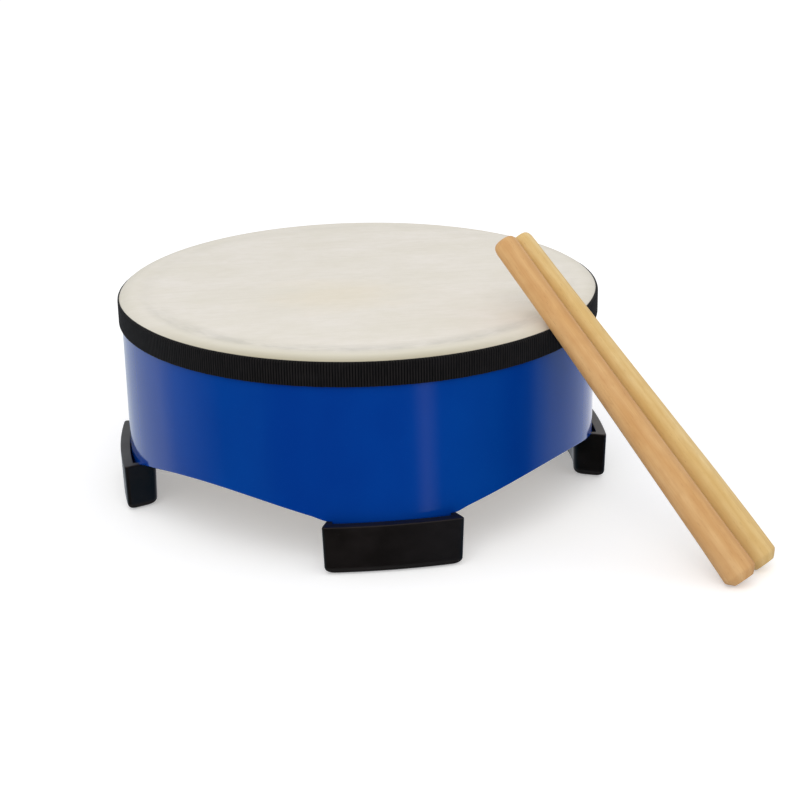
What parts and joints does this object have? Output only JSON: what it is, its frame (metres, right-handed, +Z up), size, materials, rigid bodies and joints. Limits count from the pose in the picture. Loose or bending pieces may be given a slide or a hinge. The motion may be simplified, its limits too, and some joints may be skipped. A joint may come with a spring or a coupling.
{
  "type": "floor drum",
  "caption": "Low round floor drum with a hide head, lacquered wooden shell, scalloped lower edge and rubber feet; its wooden beaters lean on the rim.",
  "frame": {"origin": "on the floor, midway along the length and the width of the whole part, beaters included", "axes": "+Z up; the front foot points along -Y and the right foot along +X; the beaters lean between them"},
  "size_m": [0.3122, 0.3122, 0.1499],
  "materials": {
    "shell_lacquer": "bent plywood, deep blue gloss lacquer",
    "plywood": "bare birch plywood",
    "hide": "cream natural hide, satin",
    "woven_tape": "black ribbed woven tape",
    "rubber": "black moulded rubber, satin",
    "screw_steel": "zinc-plated steel",
    "staple_steel": "bright steel wire",
    "beater_wood_left": "sanded pinkish hardwood, thin clear coat",
    "beater_wood_right": "sanded yellowish hardwood, thin clear coat"
  },
  "bodies": {
    "drum": {"shell": "shell_lacquer", "rim_hoop": "plywood", "drumhead": "hide", "rim_tape": "woven_tape", "foot_right": "rubber", "foot_back": "rubber", "foot_left": "rubber", "foot_front": "rubber", "foot_screw_right_a": "screw_steel", "foot_screw_right_b": "screw_steel", "foot_screw_back_a": "screw_steel", "foot_screw_back_b": "screw_steel", "foot_screw_left_a": "screw_steel", "foot_screw_left_b": "screw_steel", "foot_screw_front_a": "screw_steel", "foot_screw_front_b": "screw_steel", "head_staple_01": "staple_steel", "head_staple_02": "staple_steel", "head_staple_03": "staple_steel", "head_staple_04": "staple_steel", "head_staple_05": "staple_steel", "head_staple_06": "staple_steel", "head_staple_07": "staple_steel", "head_staple_08": "staple_steel", "head_staple_09": "staple_steel", "head_staple_10": "staple_steel", "head_staple_11": "staple_steel", "head_staple_12": "staple_steel", "head_staple_13": "staple_steel", "head_staple_14": "staple_steel", "head_staple_15": "staple_steel", "head_staple_16": "staple_steel"},
    "beater_left": {"beater_left": "beater_wood_left"},
    "beater_right": {"beater_right": "beater_wood_right"}
  },
  "joints": [
    {"name": "beater_left_lift", "type": "slide", "parent": "drum", "child": "beater_left", "axis": [0, 0, 1], "range_m": [0, 0.25]},
    {"name": "beater_right_lift", "type": "slide", "parent": "drum", "child": "beater_right", "axis": [0, 0, 1], "range_m": [0, 0.25]}
  ]
}
